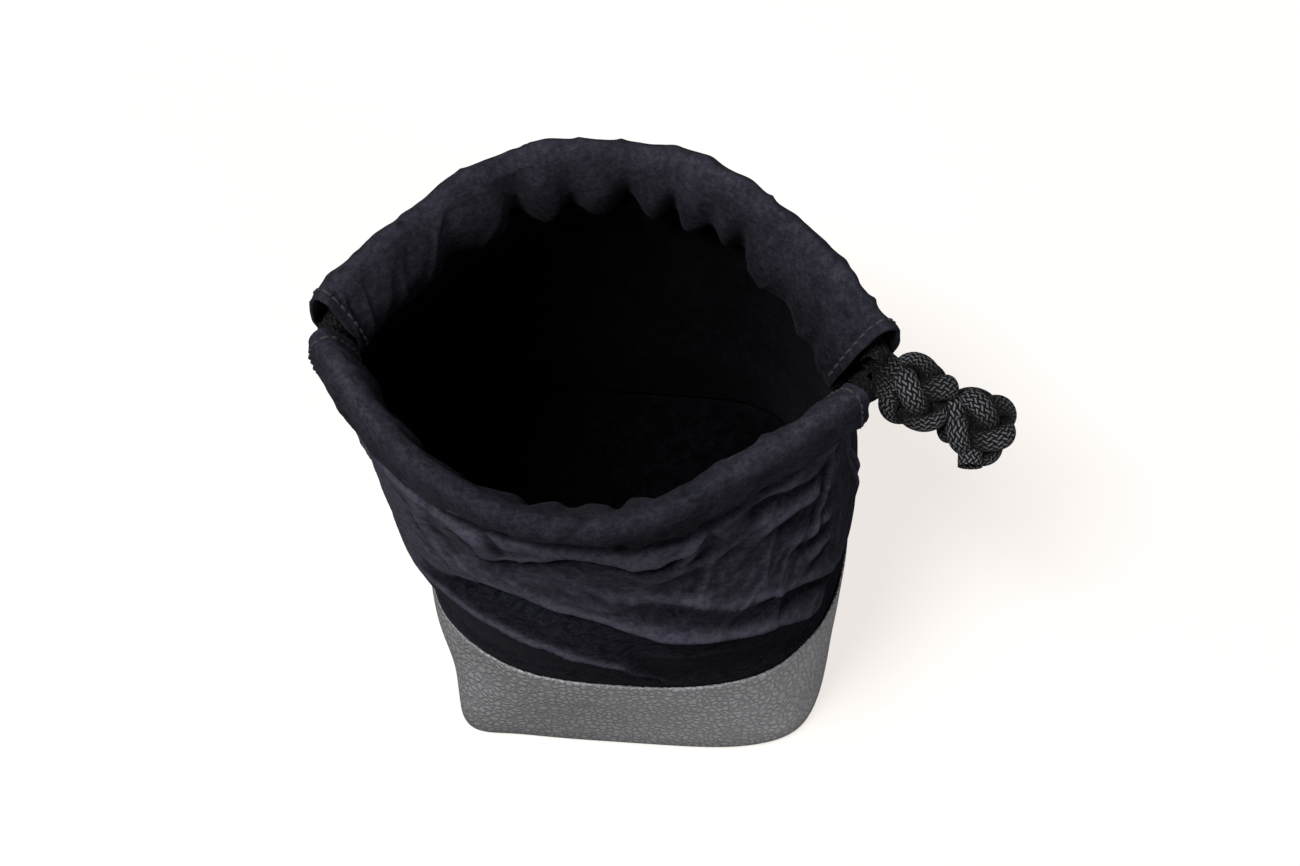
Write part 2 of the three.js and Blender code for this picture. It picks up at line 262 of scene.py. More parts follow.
def grid_faces(columns, rows, wrap_columns=False, wrap_rows=False):
    faces = []
    for column in range(columns if wrap_columns else columns - 1):
        here, after = column * rows, (column + 1) % columns * rows
        for row in range(rows if wrap_rows else rows - 1):
            above = (row + 1) % rows
            faces.append((here + row, after + row, after + above, here + above))
    return faces


def grid_object(name, points, material, wrap_columns=False, wrap_rows=False, uv=None):
    """A smooth sheet through points[column, row, xyz]; uv is a pair of lists, one longer if wrapped."""
    columns, rows = points.shape[:2]
    faces = grid_faces(columns, rows, wrap_columns, wrap_rows)
    obj = new_object(name, points, faces, material)
    if uv is not None:
        along, around = uv
        layer = obj.data.uv_layers.new(name="run")
        values = []
        for column in range(columns if wrap_columns else columns - 1):
            for row in range(rows if wrap_rows else rows - 1):
                u0, u1, v0, v1 = along[column], along[column + 1], around[row], around[row + 1]
                values.extend((u0, v0, u1, v0, u1, v1, u0, v1))
        layer.data.foreach_set("uv", values)
    return obj


def set_points(obj, name, values):
    """A value at each point, which a material reads: the cloth's nap and painted light, and how deep the
    braid lies, which darkens it as painted shade.
    """
    attribute = obj.data.attributes.new(name, "FLOAT", "POINT")
    attribute.data.foreach_set("value", np.ascontiguousarray(values, dtype=np.float32).ravel())


def pushed(x, y, normals, out, z):
    """Points that leave an outline by so much along its normals."""
    return np.stack([x + normals[0] * out, y + normals[1] * out, z], axis=-1)


def points_mm(obj):
    return np.array([vertex.co for vertex in obj.data.vertices]) / MM


def crest_painted_light(relief, step_columns, step_rows, reach_mm):
    """Above 0 on crests and below it in creases: the relief against its own surroundings, which paints
    crests lighter as painted highlight and creases darker as painted shade.
    """
    smooth = relief
    for axis, step in ((0, step_columns), (1, step_rows)):
        reach = max(int(round(reach_mm / step)), 1)
        kernel = np.hanning(2 * reach + 3)[1:-1]
        kernel = kernel / kernel.sum()
        padded = np.pad(smooth, [(reach, reach) if a == axis else (0, 0) for a in (0, 1)], mode="edge")
        smooth = np.apply_along_axis(lambda line: np.convolve(line, kernel, mode="valid"), axis, padded)
    return relief - smooth


def thicken(obj, thickness):
    """Gives a sheet its thickness, inwards."""
    modifier = obj.modifiers.new("thickness", "SOLIDIFY")
    modifier.thickness = thickness * MM
    modifier.offset = -1.0
    modifier.use_even_offset = False
    graph = bpy.context.evaluated_depsgraph_get()
    mesh = bpy.data.meshes.new_from_object(obj.evaluated_get(graph))
    obj.modifiers.clear()
    obj.data = mesh
    mesh.polygons.foreach_set("use_smooth", [True] * len(mesh.polygons))


def join(name, objects):
    """One object of several meshes."""
    with bpy.context.temp_override(active_object=objects[0], selected_editable_objects=objects):
        bpy.ops.object.join()
    objects[0].name = name
    objects[0].data.name = name
    return objects[0]


# Materials

class Shader:
    """A material's nodes, wired by short calls."""

    def __init__(self, name, roughness, sheen=0.0, sheen_tint=(1, 1, 1), specular=0.5):
        self.material = bpy.data.materials.new(name)
        self.material.use_nodes = True
        self.tree = self.material.node_tree
        self.bsdf = self.tree.nodes["Principled BSDF"]
        surface = {"Roughness": roughness, "Sheen Weight": sheen, "Sheen Roughness": 0.45,
                   "Sheen Tint": sheen_tint, "Specular IOR Level": specular}
        for key, value in surface.items():
            self.link(value, self.bsdf.inputs[key])
        coordinates = self.node("TexCoord")
        self.object = coordinates.outputs["Object"]
        self.uv = coordinates.outputs["UV"]

    def link(self, value, socket):
        if isinstance(value, (int, float)):
            socket.default_value = value
        elif isinstance(value, tuple):
            socket.default_value = (*value, 1) if len(socket.default_value) == 4 else value
        else:
            self.tree.links.new(value, socket)

    def node(self, kind, inputs=(), **settings):
        """A node with its settings and its inputs, which are values or other nodes' outputs."""
        node = self.tree.nodes.new("ShaderNode" + kind)
        for key, value in settings.items():
            setattr(node, key, value)
        for key, value in dict(inputs).items():
            self.link(value, node.inputs[key])
        return node

    def stretched(self, vector, scale):
        return self.node("Mapping", {"Vector": vector, "Scale": scale}).outputs["Vector"]

    def noise(self, scale, detail=2.0, roughness=0.5, distortion=0.0, stretch=(1.0, 1.0, 1.0)):
        inputs = {"Vector": self.stretched(self.object, stretch), "Scale": scale, "Detail": detail,
                  "Roughness": roughness, "Distortion": distortion}
        return self.node("TexNoise", inputs).outputs["Fac"]

    def swirled(self, scale, reach):
        """The object's coordinates, moved this way and that by so many metres."""
        noises = self.node("TexNoise", {"Vector": self.object, "Scale": scale}).outputs["Color"]
        way = self.node("VectorMath", {0: noises, 1: (0.5, 0.5, 0.5)}, operation="SUBTRACT").outputs[0]
        move = self.node("VectorMath", {0: way, "Scale": reach}, operation="SCALE").outputs[0]
        return self.node("VectorMath", {0: self.object, 1: move}, operation="ADD").outputs[0]

    def cells(self, vector, scale, feature):
        inputs = {"Vector": vector, "Scale": scale}
        return self.node("TexVoronoi", inputs, feature=feature).outputs["Distance"]

    def math(self, operation, a, b=0.0, clamp=False):
        return self.node("Math", {0: a, 1: b}, operation=operation, use_clamp=clamp).outputs[0]

    def plus(self, a, b):
        return self.math("ADD", a, b)

    def less(self, a, b):
        return self.math("SUBTRACT", a, b)

    def times(self, a, b):
        return self.math("MULTIPLY", a, b)

    def split(self, vector):
        return self.node("SeparateXYZ", {0: vector}).outputs[:]

    def point_value(self, name):
        return self.node("Attribute", attribute_name=name).outputs["Fac"]

    def ramp(self, value, low, high, out_low=0.0, out_high=1.0):
        inputs = {"Value": value, "From Min": low, "From Max": high, "To Min": out_low, "To Max": out_high}
        return self.node("MapRange", inputs, interpolation_type="SMOOTHSTEP").outputs["Result"]

    def colour(self, share, dark, light, blend="MIX"):
        inputs = {"Factor": share, 6: dark, 7: light}
        return self.node("Mix", inputs, data_type="RGBA", blend_type=blend).outputs[2]

    def bumps(self, *layers):
        """Bumps over each other: height, strength and distance in millimetres of each."""
        normal = None
        for height, strength, distance in layers:
            node = self.node("Bump", {"Height": height, "Strength": strength, "Distance": distance * MM})
            if normal is not None:
                self.link(normal, node.inputs["Normal"])
            normal = node.outputs["Normal"]
        return normal

    def finish(self, colour, normal=None, roughness=None):
        self.link(colour, self.bsdf.inputs["Base Color"])
        if normal is not None:
            self.link(normal, self.bsdf.inputs["Normal"])
        if roughness is not None:
            self.link(roughness, self.bsdf.inputs["Roughness"])
        return self.material


def leather_material():
    """Dark grey leather with a pebbled grain, its pebbles shinier than the creases between; it is darker at
    its foot, and painted light lightens it towards its right side.
    """
    shader = Shader("leather", 0.5, specular=0.4)
    tall = shader.stretched(shader.swirled(330, 0.0011), (1.0, 1.0, 0.62))
    grain = shader.ramp(shader.cells(tall, 780, "DISTANCE_TO_EDGE"), 0.0, 0.27)
    fine = shader.noise(3000, 3, 0.6)
    broad = shader.noise(45, 3)
    patch = shader.noise(420, 2)
    tone = shader.plus(shader.times(grain, 0.6), shader.times(patch, 0.4))
    plain = shader.colour(tone, (0.098, 0.096, 0.1), (0.185, 0.18, 0.187))
    worn = shader.colour(tone, (0.115, 0.112, 0.117), (0.21, 0.204, 0.212))
    colour = shader.colour(shader.ramp(broad, 0.35, 0.75), plain, worn)
    across, _, up = shader.split(shader.object)
    # Darker over the lowest 9 mm, and painted light: lighter towards the right side and darker towards the
    # left, as the light fell on it.
    foot = shader.ramp(up, 0.0, 0.009, 0.7, 1.0)
    light = shader.times(foot, shader.ramp(across, -0.035, 0.035, 0.9, 1.3))
    colour = shader.colour(1.0, colour, light, "MULTIPLY")
    normal = shader.bumps((grain, 0.75, 0.32), (fine, 0.25, 0.12))
    return shader.finish(colour, normal, shader.ramp(grain, 0.0, 1.0, 0.66, 0.46))


def cloth_material():
    """Very dark navy brushed cloth, with a fine weave and small creases, and painted light read from each
    point's nap value: painted highlight on its crests, painted shade in creases and under folds.
    """
    shader = Shader("cloth", 0.92, sheen=0.014, sheen_tint=(0.66, 0.62, 0.74), specular=0.0)
    crinkle = shader.noise(330, 4, 0.62, 0.7, stretch=(1.0, 1.0, 2.1))
    crease = shader.ramp(shader.math("ABSOLUTE", shader.less(crinkle, 0.5)), 0.0, 0.12, 1.0, 0.0)
    soft = shader.noise(120, 4, 0.55, 0.4)
    fuzz = shader.noise(900, 4, 0.7)
    threads = shader.noise(2600, stretch=(1.0, 1.0, 5.0))
    weave = shader.times(threads, shader.noise(2600, stretch=(4.0, 4.0, 1.0)))
    speckle = shader.ramp(shader.times(fuzz, shader.plus(weave, 0.35)), 0.15, 0.5)
    # Each point's nap value carries painted light: crests lighter as painted highlight, creases and the
    # undersides of folds darker as painted shade.
    nap_with_painted_light = shader.times(shader.point_value("nap_and_painted_light"), shader.ramp(soft, 0.25, 0.8, 0.75, 1.2))
    nap_with_painted_light = shader.plus(nap_with_painted_light, shader.times(crease, 0.12))
    tone = shader.times(nap_with_painted_light, shader.plus(shader.times(speckle, 0.9), 0.5))
    dots = shader.ramp(shader.noise(2300, 1), 0.55, 0.72)
    tone = shader.math("ADD", tone, shader.times(dots, 0.1), clamp=True)
    colour = shader.colour(tone, (0.0014, 0.0016, 0.0027), (0.036, 0.035, 0.048))
    layers = (soft, 0.3, 0.9), (crinkle, 0.25, 0.4), (fuzz, 0.35, 0.18), (weave, 0.5, 0.2)
    return shader.finish(colour, shader.bumps(*layers))


def fleece_material():
    """Black brushed lining with a short uneven pile."""
    shader = Shader("fleece", 0.98, sheen=0.01, sheen_tint=(0.8, 0.85, 1.0), specular=0.0)
    pile = shader.noise(1500, 4, 0.7, 0.5)
    tuft = shader.noise(420, 3, 0.6, 0.3)
    tone = shader.ramp(shader.times(pile, tuft), 0.15, 0.42)
    colour = shader.colour(tone, (0.0006, 0.0006, 0.0008), (0.0019, 0.002, 0.0026))
    return shader.finish(colour, shader.bumps((tuft, 0.6, 0.7), (pile, 0.9, 0.45)))


# Strands across the braid, and how far along it one crossing takes
STRANDS_AROUND = 12
CROSSING_SHARE = 1.15


def strand_count(shader, along, around, slant):
    """Counts strands that slant one way; it is a whole number between two of them."""
    steps = shader.times(along, slant * STRANDS_AROUND / CROSSING_SHARE / math.pi)
    return shader.plus(shader.times(around, float(STRANDS_AROUND)), steps)


def strand_height(shader, count):
    """A round strand's height across its width."""
    centred = shader.math("ABSOLUTE", shader.less(shader.math("FRACT", count), 0.5))
    return shader.ramp(centred, 0.46, 0.1, 0.0, 1.0)


def braid_material():
    """Braided cord: two sets of slanting strands that pass over each other, by the cord's own run, with
    painted shade in the grooves between strands and where the cord lies deep.
    """
    shader = Shader("braid", 0.6, sheen=0.005, sheen_tint=(0.9, 0.9, 1.0), specular=0.12)
    dark = (0.0004, 0.0004, 0.0005)
    along, around, _ = shader.split(shader.uv)
    left, right = [strand_count(shader, along, around, slant) for slant in (1.0, -1.0)]
    both = shader.plus(shader.math("FLOOR", left), shader.math("FLOOR", right))
    left_over = shader.math("LESS_THAN", shader.math("FLOORED_MODULO", both, 2.0), 1.0)
    left = shader.times(strand_height(shader, left), left_over)
    right = shader.times(strand_height(shader, right), shader.less(1.0, left_over))
    height = shader.math("MAXIMUM", left, right)
    fibre = shader.noise(5200, 2)
    # Painted shade: near black everywhere but the strands' tops, and near black where each point's depth
    # value is high, deep in knots and in the hems.
    tone = shader.times(shader.ramp(height, 0.55, 1.0), shader.ramp(fibre, 0.2, 0.8, 0.6, 1.0))
    colour = shader.colour(tone, dark, (0.082, 0.083, 0.09))
    colour = shader.colour(shader.point_value("depth"), colour, dark)
    normal = shader.bumps((height, 1.0, 0.42), (fibre, 0.25, 0.08))
    return shader.finish(colour, normal, shader.ramp(height, 0, 1, 0.8, 0.52))


def thread_material():
    """Sewing thread with a slight twist."""
    shader = Shader("thread", 0.7, specular=0.15)
    twist = shader.noise(4200, 2)
    colour = shader.colour(twist, (0.004, 0.004, 0.005), (0.04, 0.04, 0.045))
    return shader.finish(colour, shader.bumps((twist, 0.5, 0.08)))


def foam_material():
    """Grey open foam."""
    shader = Shader("foam", 0.95, specular=0.2)
    pores = shader.cells(shader.object, 1400, "F1")
    colour = shader.colour(pores, (0.09, 0.09, 0.088), (0.2, 0.2, 0.195))
    return shader.finish(colour, shader.bumps((pores, 0.5, 0.3)))


LEATHER = leather_material()
CLOTH = cloth_material()
FLEECE = fleece_material()
BRAID = braid_material()
THREAD = thread_material()
FOAM = foam_material()


# Leather base

def base_corners(angle):
    """How far the front corners of the base stand out of its rounded square; the left one is dented."""
    left = 2.6 * bell((angle - 1.31 * np.pi) / 0.24) - 1.6 * bell((angle - 1.15 * np.pi) / 0.3)
    return left + 0.7 * bell((angle - 1.75 * np.pi) / 0.3)


def base_wall():
    """The side wall, rounded at the floor and softly uneven, with a turned top edge."""
    foot_round, foot_lift, edge = 1.9, 0.3, 0.45
    outer = [(foot_lift + foot_round * (1 - math.cos(a)), foot_round * (1 - math.sin(a)))
             for a in np.linspace(0.15, math.pi / 2, 7)]
    outer += [(z, 0.0) for z in np.linspace(foot_lift + foot_round + 2, SEAM_Z - 1.6, 22)]
    top = [(SEAM_Z - 0.5, 0.0), (SEAM_Z - 0.12, 0.06), (SEAM_Z, edge / 2), (SEAM_Z - 0.08, edge)]
    inner = [(SEAM_Z - 0.6, edge), (SEAM_Z - 4.8, edge), (SEAM_Z - 5.6, LEATHER_THICKNESS)]
    inner += [(SEAM_Z / 2, LEATHER_THICKNESS), (2.2, LEATHER_THICKNESS), (1.0, foot_round)]
    profile = np.array(outer + top + inner)
    angle = full_turn(360)[:, None]
    z, inset = [np.broadcast_to(column, (len(angle), len(profile))) for column in profile.T]
    x, y = outline_xy(z, angle, inset)
    out = 0.25 * noise(angle * 3.2, z / 14, 5) * smoothstep(1, 12, z) * (inset < 1)
    out = out + base_corners(angle) * fading(4, 32, z) * (inset < foot_round + 0.1)
    rise = 0.35 * noise(angle * 2.2, z * 0, 9) - 2.6 * bell((angle - 1.13 * np.pi) / 0.35)
    rise = rise * smoothstep(SEAM_Z - 12, SEAM_Z, z)
    points = pushed(x, y, (np.cos(angle), np.sin(angle)), out, z + rise)
    return grid_object("base_leather_wall", points, LEATHER, wrap_columns=True, wrap_rows=True)


# The inset of a ring that leaves next to nothing in a flat panel's middle
MIDDLE_INSET = BASE_WIDTH / 2 - 0.5


def ring_points(columns, z, rings, corners=False):
    """Points of rings round the base: each so far above z, and so far in from the outline there."""
    angle = full_turn(columns)
    stack = []
    for rise, inset in rings:
        x, y = outline_xy(np.full(columns, z), angle, inset)
        out = base_corners(angle) * (corners and inset < 5)
        stack.append(pushed(x, y, (np.cos(angle), np.sin(angle)), out, z + rise + 0 * x))
    return np.stack(stack, axis=1)


def base_sole():
    """The bottom panel: a flat rounded square with softened edges."""
    columns = 180
    rings = [(0.0, MIDDLE_INSET), (0.0, 12.0), (0.0, 3.2), (0.25, 2.6), (0.9, 2.35), (1.45, 2.6)]
    rings += [(1.6, 3.4), (1.6, MIDDLE_INSET)]
    points = ring_points(columns, 0.0, rings, corners=True)
    first = np.arange(columns) * len(rings)
    caps = [first[::-1].tolist(), (first + len(rings) - 1).tolist()]
    faces = grid_faces(columns, len(rings), wrap_columns=True) + caps
    return new_object("base_leather_sole", points, faces, LEATHER, smooth=False)


# Folds of the cloth

# The share of the front, from its middle to a side seam, that the photograph shows
SIGHT = (-0.68, 0.84)
# How far the cloth's top stands out under the hem, and how far in the stitched foot of a hem holds it
SHELF_OUT = 0.7
NECK_INSET = 0.9
# The cloth's grid, and how far it reaches into the leather and the hem
COLUMNS, ROWS = 340, 140
PANEL_FOOT = SEAM_Z - 4.0
PANEL_TOP = FOOT_Z + 2.2
# Which of the front's lips is the main fold
MAIN_LIP = 2
# Lips of the front's sagging folds: places in the photograph's frame (across, down, how far the lip
# stands out in millimetres), then how far each fades above and below, and how much it hangs over
FRONT_LIPS = (
    (((447, 517, 0.4), (460, 543, 1.0), (477, 558, 1.4), (497, 564, 1.6), (530, 565, 1.6),
      (560, 564, 1.7), (587, 567, 1.7), (613, 573, 1.8), (640, 576, 1.8), (667, 572, 1.6),
      (687, 560, 1.2), (703, 537, 0.8), (713, 517, 0.3)), 5.0, 1.0, 0.8),
    (((567, 583, 0.2), (613, 593, 0.8), (663, 598, 1.3), (697, 603, 1.8), (730, 607, 2.2),
      (760, 603, 2.3), (787, 597, 2.2), (813, 583, 1.8), (840, 563, 0.8)), 6.5, 1.5, 1.4),
    (((440, 571, 0.8), (458, 577, 1.3), (488, 586, 2.0), (517, 598, 2.6), (546, 611, 3.0),
      (576, 620, 3.4), (604, 628, 3.8), (630, 635, 4.2), (657, 642, 4.6), (697, 645, 5.0),
      (730, 644, 4.9), (760, 638, 4.3), (790, 627, 3.3), (817, 613, 1.6)), 7.5, 1.3, 2.4),
    (((434, 586, 1.6), (449, 598, 2.3), (473, 617, 2.9), (496, 631, 3.2), (523, 645, 3.3),
      (546, 653, 3.2), (576, 662, 2.9), (600, 668, 2.7), (627, 673, 2.4), (647, 680, 1.7),
      (663, 687, 0.7)), 5.0, 0.9, 2.0),
)
# Small ridges of the front: places in the photograph's frame, how far out, half width
FRONT_CREASES = (
    (((836, 492), (813, 508), (794, 519), (778, 531), (767, 546), (755, 565)), 1.3, 1.7),
    (((716, 517), (706, 543), (694, 566), (681, 588)), 1.0, 1.5),
    (((838, 470), (812, 488), (786, 500), (757, 512), (738, 527)), 0.7, 1.2),
    (((845, 505), (828, 528), (806, 546), (788, 566)), 0.8, 1.4),
    (((842, 528), (826, 552), (808, 572)), 0.7, 1.3),
    (((842, 452), (840, 469), (832, 500), (825, 523), (815, 546), (812, 561)), 0.7, 0.8),
    (((640, 588), (664, 584), (690, 578), (717, 566), (733, 548)), 0.6, 1.4),
    (((436, 518), (450, 530), (467, 548), (492, 567)), 1.0, 1.3),
    (((404, 500), (418, 530), (432, 554), (448, 568), (476, 577)), 0.7, 1.4),
    (((470, 536), (500, 552), (540, 556)), 0.4, 1.2),
    (((480, 590), (512, 606), (548, 628), (590, 642)), 0.7, 1.6),
    (((604, 604), (640, 614), (676, 622), (712, 622)), 0.5, 1.5),
    (((752, 616), (780, 606), (808, 592), (830, 576)), 0.6, 1.5),
    (((640, 656), (680, 664), (720, 660), (760, 650)), 0.4, 1.6),
    (((520, 634), (556, 646), (596, 656)), 0.4, 1.4),
)
# Lips of the back: (share from the middle to a side seam, share of the cloth's height, how far out)
BACK_LIPS = (
    (((-0.8, 0.5, 0.6), (-0.45, 0.6, 3.0), (-0.1, 0.5, 4.0), (0.25, 0.56, 3.6), (0.55, 0.68, 2.2),
      (0.84, 0.7, 0.4)), 10.0, 2.3, 2.4),
    (((-0.5, 0.86, 0.5), (-0.2, 0.8, 2.6), (0.15, 0.84, 3.2), (0.5, 0.9, 2.0),
      (0.75, 0.88, 0.4)), 7.0, 2.2, 1.6),
    (((-0.84, 0.16, 0.8), (-0.4, 0.28, 2.6), (0.05, 0.2, 3.0), (0.5, 0.27, 2.2),
      (0.84, 0.36, 0.6)), 8.0, 2.3, 1.8),
)
# Below these heights the cloth is smooth: (share along, share of the cloth's height)
BACK_SMOOTH = ((-1.0, 0.02), (-0.4, 0.2), (0.05, 0.12), (0.5, 0.2), (1.0, 0.02))
# Small ridges of the back: (share along, share up) of each place, how far out, half width
BACK_CREASES = (
    (((-0.85, 0.9), (-0.68, 0.74), (-0.5, 0.66)), 0.8, 1.5),
    (((-0.8, 0.6), (-0.6, 0.42), (-0.45, 0.3)), 0.8, 1.6),
    (((-0.3, 0.95), (-0.18, 0.84), (0.0, 0.8)), 0.7, 1.3),
    (((0.2, 0.96), (0.38, 0.86), (0.5, 0.7)), 0.8, 1.5),
    (((0.85, 0.92), (0.72, 0.74), (0.55, 0.66)), 0.9, 1.5),
    (((0.9, 0.55), (0.7, 0.4), (0.5, 0.34)), 0.8, 1.6),
    (((0.0, 0.34), (0.2, 0.36), (0.4, 0.3)), 0.5, 1.2),
    (((-0.5, 0.12), (-0.3, 0.13), (-0.1, 0.08)), 0.5, 1.3),
)


def on_front(px, py, out, drop):
    """Shares along and up the front at which a point that stands out falls on a photograph's place."""
    angles, along, z, up = side_grid(True, 480, np.linspace(SEAM_Z, FOOT_Z, 240))
    x, y, normals, shift = plain_cloth(angles, z, along, up)
    at_x, at_y = photo_px(pushed(x, y, normals, out + shift, z - drop))
    hidden = (along < SIGHT[0]) | (along > SIGHT[1])
    nearest = np.argmin((at_x - px) ** 2 + (at_y - py) ** 2 + np.where(hidden, 1e6, 0))
    return along.flat[nearest], up.flat[nearest]


def plain_cloth(angles, z, along, up):
    """The cloth's outline with its horizontal normals, and how far it leaves it before any folds."""
    x, y = outline_xy(z, angles)
    edge = 1 - np.abs(along)
    sunk = smoothstep(0.0, 0.1, up) * fading(0.1, 0.4, up) * smoothstep(0.02, 0.3, edge)
    tuck = 0.6 * fading(0.0, 0.06, up) + 1.5 * sunk
    shelf = SHELF_OUT * smoothstep(0.78, 0.95, up) * smoothstep(0.05, 0.3, edge)
    return x, y, outward(x, y), mouth_shift(angles, z) - tuck + shelf


def placed_lips(front):
    """The lips with their places as shares along and up the cloth."""
    if not front:
        return BACK_LIPS
    placed = []
    for places, rise, fall, hang in FRONT_LIPS:
        found = [(*on_front(px, py, out, hang * out / 4), out) for px, py, out in places]
        placed.append((tuple(sorted(found)), rise, fall, hang))
    return placed


def placed_creases(front):
    """The creases, likewise; their own height lifts them towards the camera."""
    if not front:
        return BACK_CREASES
    placed = []
    for places, height, width in FRONT_CREASES:
        placed.append(([on_front(px, py, height + 1.0, 0.0) for px, py in places], height, width))
    return placed


def taut_line(front, lips):
    """Places of the line below which the cloth is taut: the front's main fold."""
    if not front:
        return BACK_SMOOTH
    places = lips[MAIN_LIP][0]
    first_along, first_up, _ = places[0]
    left = [(-1.0, first_up - 0.12), (first_along - 0.1, first_up - 0.08)]
    return left + [(along, up) for along, up, _ in places] + [(1.0, 0.3)]


def lip_offsets(along, up, lips):
    """How far the sagging folds push the cloth out and pull it down, with the painted shade below each lip
    and the painted highlight along it.
    """
    out, drop, under, shade, light = np.zeros((5, *np.broadcast(along, up).shape))
    for places, rise, fall, hang in lips:
        places = np.array(places)
        line = smooth_line(along, places[:, 0], places[:, 1])
        size = smooth_line(along, places[:, 0], places[:, 2])
        size = size * smoothstep(places[0, 0] - 0.22, places[0, 0], along)
        size = size * fading(places[-1, 0], places[-1, 0] + 0.1, along)
        gap = (up - line) * CLOTH_HEIGHT
        above = np.exp(-(np.clip(gap, 0, None) / rise) ** 1.3)
        below = bell(np.clip(-gap, 0, None) / fall)
        out = soft_max(out, size * above * below)
        under += 0.5 * size * bell((gap + 2.2 * fall) / (1.3 * fall)) * (out < 0.6 * size)
        drop += hang * size / 4 * bell(gap / 2.4)
        bold = np.clip(size / 1.8, 0, 1)
        # Painted shade for a few millimetres below each lip, and a painted highlight along its crest.
        shade = np.maximum(shade, bold * smoothstep(0.2, 1.4, -gap) * fading(3.0, 8.0, -gap))
        light = np.maximum(light, bold * bell((gap - 0.4) / 0.7))
    return out - under, drop, shade, light


def soft_max(a, b):
    """The larger of two, with the corner between them rounded off a little."""
    round_off = 0.35
    return 0.5 * (a + b + np.sqrt((a - b) ** 2 + round_off * round_off)) - round_off / 2


def smooth_line(at, places, values):
    """Values between places, softened so that the line has no corners."""
    spread = np.array([-0.02, -0.01, 0.0, 0.01, 0.02])
    return np.mean([np.interp(at + s, places, values) for s in spread], axis=0)


def crease_offsets(along, up, creases, half_length):
    """Small ridges that fade towards their ends."""
    out = np.zeros(np.broadcast(along, up).shape)
    x, y = along * half_length, up * CLOTH_HEIGHT
    x, y = x + 0.7 * noise(x / 5, y / 5, 31), y + 0.7 * noise(x / 5, y / 5, 32)
    for places, height, width in creases:
        places = np.array(places) * (half_length, CLOTH_HEIGHT)
        run = run_along(places)
        off = np.full(out.shape, np.inf)
        share = np.zeros(out.shape)
        for index, length in enumerate(np.diff(run)):
            ax, ay = places[index]
            dx, dy = (places[index + 1] - places[index]) / length
            at = np.clip((x - ax) * dx + (y - ay) * dy, 0, length)
            gap = np.hypot(x - ax - at * dx, y - ay - at * dy)
            share = np.where(gap < off, (run[index] + at) / run[-1], share)
            off = np.minimum(gap, off)
        fade = smoothstep(0.0, 0.3, share) * fading(0.65, 1.0, share)
        out += height * fade * (bell(off / width) - 0.4 * bell((off - 2.1 * width) / (1.4 * width)))
    return out


def crumple(along, up, seed, half_length):
    """Slack and small creases, drawn out along the folds and fanning down from both side seams."""
    x, y = along * half_length, up * CLOTH_HEIGHT
    sway = y + 3.0 * noise(x / 26, y / 22, seed + 7)
    fan = y - 24.0 * np.abs(along) ** 1.5 + 2.2 * noise(x / 9, y / 9, seed + 8)
    broad = noise(x / 17, sway / 9, seed) * 0.4
    long_folds = noise(x / 13, sway / 3.2, seed + 1) * 0.3
    patches = smoothstep(-0.35, 0.5, noise(x / 19 + 5, y / 13, seed + 9))
    crease = (ridged(x / 12, fan / 4.0, seed + 2) ** 4 - 0.2) * 0.7 * (0.35 + 0.65 * patches)
    crossing = (ridged(x / 6 + fan / 20, sway / 2.8, seed + 5) ** 5 - 0.17) * 0.45 * (1 - 0.6 * patches)
    small = noise(x / 3.4 + fan / 9, fan / 1.5, seed + 3) * 0.2
    fine = noise(x / 1.3, y / 0.9, seed + 4) * 0.07
    return broad + long_folds + crease + crossing + small + fine


# The mouth's own shape, which is not quite the outline

# How far the foot of the front hem leans in at its middle
HEM_FOOT_LEAN = 4.4
# Bulges of the mouth: (how far out, share from the middle to a side seam, half width)
FRONT_BULGES = ((-4.0, 0.4, 0.26), (1.6, -0.62, 0.3), (1.3, -0.3, 0.2), (1.8, -1.0, 0.3))
BACK_BULGES = ((1.8, 1.0, 0.3), (0.8, 0.0, 0.5), (1.6, 0.3, 0.17), (1.6, 0.7, 0.3), (1.7, -1.0, 0.22))


def bulge_sum(side, bulges):
    return sum(size * bell((side - place) / width) for size, place, width in bulges)


def mouth_shift(angle, z):
    """How the upper cloth leaves the plain outline, in millimetres outwards."""
    in_front = angle > np.pi
    front_side = (angle - 1.5 * np.pi) / (np.pi / 2)
    back_side = (angle - 0.5 * np.pi) / (np.pi / 2)
    bulge = np.where(in_front, bulge_sum(front_side, FRONT_BULGES), bulge_sum(back_side, BACK_BULGES))
    shift = bulge * smoothstep(FOOT_Z - 34, FOOT_Z + 4, z)
    off_right = np.where(in_front, 1 - front_side, 1 + back_side)
    waist = smoothstep(FOOT_Z - 34, FOOT_Z - 10, z) * fading(FOOT_Z - 2, FOOT_Z + 9, z)
    flank = smoothstep(SEAM_Z + 17, SEAM_Z + 31, z) * fading(FOOT_Z - 5, FOOT_Z + 5, z)
    shift = shift - 3.2 * bell(off_right / 0.42) * waist - 2.6 * bell(off_right / 0.3) * flank
    foot = smoothstep(SEAM_Z + 16, FOOT_Z - 8, z) * fading(FOOT_Z + 1, TOP_Z - 2, z)
    lean = HEM_FOOT_LEAN * bell((front_side + 0.09) / 0.32) * foot
    hollow = 1.6 * bell((front_side + 0.2) / 0.2) * bell((z - SEAM_Z - 42) / 11)
    hip = 2.2 * bell((front_side + 0.68) / 0.22) * bell((z - SEAM_Z - 26) / 16)
    nip = 1.7 * bell((front_side + 0.76) / 0.16) * bell((z - FOOT_Z + 4) / 7)
    return shift + np.where(in_front, hip - lean - hollow - nip, 0)


